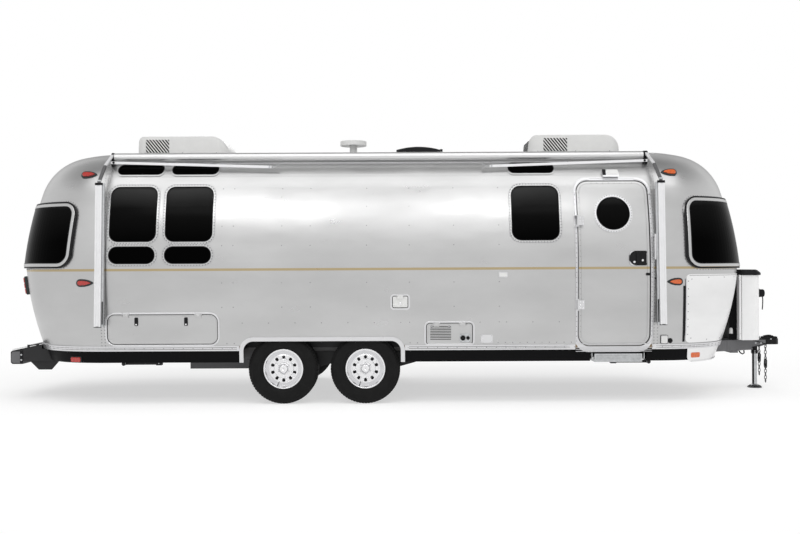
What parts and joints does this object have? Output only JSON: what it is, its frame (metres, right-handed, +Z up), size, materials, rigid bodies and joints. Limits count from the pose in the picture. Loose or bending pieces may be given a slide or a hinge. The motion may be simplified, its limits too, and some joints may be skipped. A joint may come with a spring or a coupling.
{
  "type": "travel caravan",
  "caption": "Twin-axle travel caravan with a rounded riveted aluminium body, side entry door, roof air units, rolled awning and a parked nose jack.",
  "frame": {"origin": "on the ground, on the centreline, halfway between the rear bumper and the coupler's tip", "axes": "+X forward to the coupler, +Z up, +Y to the road side; the entry door is on the -Y kerb side"},
  "size_m": [8.53, 2.6467, 2.873],
  "materials": {
    "skin": "satin",
    "trim": "satin",
    "wheel_metal": "polished",
    "window_glass": "polished",
    "tyre_rubber": "matte",
    "chassis_paint": "satin",
    "drawbar_paint": "satin",
    "galvanised": "satin",
    "black_plastic": "matte",
    "skirt_black": "satin",
    "white_plastic": "gloss",
    "pale_cover": "gloss",
    "floor_board": "matte",
    "awning_fabric": "matte",
    "red_lens": "gloss",
    "amber_lens": "gloss",
    "coupler_black": "satin"
  },
  "bodies": {
    "body": {"side_wall_kerb": "skin", "side_wall_road": "skin", "roof": "skin", "rear_end": "skin", "front_end": "skin", "window_glass": "window_glass", "window_frames": "trim", "door_and_hatch_frames": "trim", "floor": "floor_board", "wheel_boxes": "chassis_paint", "rub_rail": "trim", "arch_trims": "trim", "skirt": "skirt_black", "belly_pan": "chassis_paint", "chassis_frame": "drawbar_paint", "coupler": "coupler_black", "axles": "chassis_paint", "jack_tube": "black_plastic", "gas_cover": "pale_cover", "gas_cover_lid": "black_plastic", "front_guards": "skin", "safety_chains": "galvanised", "rear_bumper": "drawbar_paint", "air_conditioners": "white_plastic", "roof_fittings": "white_plastic", "awning_tube": "awning_fabric", "awning_arms": "trim", "step_bracket": "galvanised", "stabiliser_brackets": "chassis_paint", "red_lamps": "red_lens", "amber_lamps": "amber_lens", "wall_fittings": "trim", "grab_handle": "trim", "gas_cover_back": "black_plastic"},
    "road_wheel_rear_kerb": {"tyre_rear_kerb": "tyre_rubber", "wheel_rear_kerb": "wheel_metal"},
    "road_wheel_rear_road": {"tyre_rear_road": "tyre_rubber", "wheel_rear_road": "wheel_metal"},
    "road_wheel_front_kerb": {"tyre_front_kerb": "tyre_rubber", "wheel_front_kerb": "wheel_metal"},
    "road_wheel_front_road": {"tyre_front_road": "tyre_rubber", "wheel_front_road": "wheel_metal"},
    "door": {"entry_door": "skin", "door_window": "window_glass", "door_fittings": "trim"},
    "luggage_hatch_kerb": {"luggage_hatch_kerb": "skin"},
    "luggage_hatch_road": {"luggage_hatch_road": "skin"},
    "service_hatch": {"service_hatch": "skin"},
    "filler_hatch": {"filler_hatch": "white_plastic"},
    "vent_lid": {"vent_lid": "black_plastic"},
    "bumper_lid": {"bumper_lid": "trim"},
    "jack_leg": {"jack_leg": "galvanised"},
    "step_arms": {"step_arms": "galvanised"},
    "step_tread": {"step_tread": "galvanised"},
    "stabiliser_rear_kerb": {"stabiliser_rear_kerb": "chassis_paint"},
    "stabiliser_rear_road": {"stabiliser_rear_road": "chassis_paint"},
    "stabiliser_front_kerb": {"stabiliser_front_kerb": "chassis_paint"},
    "stabiliser_front_road": {"stabiliser_front_road": "chassis_paint"}
  },
  "joints": [
    {"name": "wheel_spin_rear_kerb", "type": "hinge", "parent": "body", "child": "road_wheel_rear_kerb", "pos_m": [-1.286, -1.09, 0.3595], "axis": [0, 1, 0], "continuous": true},
    {"name": "wheel_spin_rear_road", "type": "hinge", "parent": "body", "child": "road_wheel_rear_road", "pos_m": [-1.286, 1.09, 0.3595], "axis": [0, 1, 0], "continuous": true},
    {"name": "wheel_spin_front_kerb", "type": "hinge", "parent": "body", "child": "road_wheel_front_kerb", "pos_m": [-0.441, -1.09, 0.3595], "axis": [0, 1, 0], "continuous": true},
    {"name": "wheel_spin_front_road", "type": "hinge", "parent": "body", "child": "road_wheel_front_road", "pos_m": [-0.441, 1.09, 0.3595], "axis": [0, 1, 0], "continuous": true},
    {"name": "door_hinge", "type": "hinge", "parent": "body", "child": "door", "pos_m": [1.732, -1.284, 1.44], "axis": [0, 0, -1], "range_deg": [0, 165]},
    {"name": "luggage_hatch_kerb_hinge", "type": "hinge", "parent": "body", "child": "luggage_hatch_kerb", "pos_m": [-2.51, -1.27204, 0.932], "axis": [-1, 0, 0], "range_deg": [0, 100]},
    {"name": "luggage_hatch_road_hinge", "type": "hinge", "parent": "body", "child": "luggage_hatch_road", "pos_m": [-2.51, 1.27204, 0.932], "axis": [1, 0, 0], "range_deg": [0, 100]},
    {"name": "service_hatch_hinge", "type": "hinge", "parent": "body", "child": "service_hatch", "pos_m": [0.4225, -1.26538, 0.832], "axis": [-1, 0, 0], "range_deg": [0, 100]},
    {"name": "filler_hatch_hinge", "type": "hinge", "parent": "body", "child": "filler_hatch", "pos_m": [-0.0795, -1.28072, 1.111], "axis": [-1, 0, 0], "range_deg": [0, 100]},
    {"name": "vent_lid_hinge", "type": "hinge", "parent": "body", "child": "vent_lid", "pos_m": [0.402, 0, 2.705], "axis": [0, 1, 0], "range_deg": [0, 60]},
    {"name": "bumper_lid_hinge", "type": "hinge", "parent": "body", "child": "bumper_lid", "pos_m": [-4.075, 0, 0.576], "axis": [0, 1, 0], "range_deg": [0, 55]},
    {"name": "jack_slide", "type": "slide", "parent": "body", "child": "jack_leg", "axis": [0, 0, 1], "range_m": [0, 0.345]},
    {"name": "step_swing", "type": "hinge", "parent": "body", "child": "step_arms", "pos_m": [2.156, -1.128, 0.488], "axis": [1, 0, 0], "range_deg": [-150, 0]},
    {"name": "step_level", "type": "hinge", "parent": "step_arms", "child": "step_tread", "pos_m": [2.156, -0.966, 0.464], "axis": [1, 0, 0], "range_deg": [0, 150]},
    {"name": "stabiliser_rear_kerb_hinge", "type": "hinge", "parent": "body", "child": "stabiliser_rear_kerb", "pos_m": [-2.635, -0.875, 0.395], "axis": [0, -1, 0], "range_deg": [0, 80]},
    {"name": "stabiliser_rear_road_hinge", "type": "hinge", "parent": "body", "child": "stabiliser_rear_road", "pos_m": [-2.635, 0.875, 0.395], "axis": [0, -1, 0], "range_deg": [0, 80]},
    {"name": "stabiliser_front_kerb_hinge", "type": "hinge", "parent": "body", "child": "stabiliser_front_kerb", "pos_m": [2.174, -0.875, 0.395], "axis": [0, 1, 0], "range_deg": [0, 80]},
    {"name": "stabiliser_front_road_hinge", "type": "hinge", "parent": "body", "child": "stabiliser_front_road", "pos_m": [2.174, 0.875, 0.395], "axis": [0, 1, 0], "range_deg": [0, 80]}
  ],
  "couplings": [
    {"joint": "step_level", "follows": "step_swing", "ratio": -1}
  ]
}
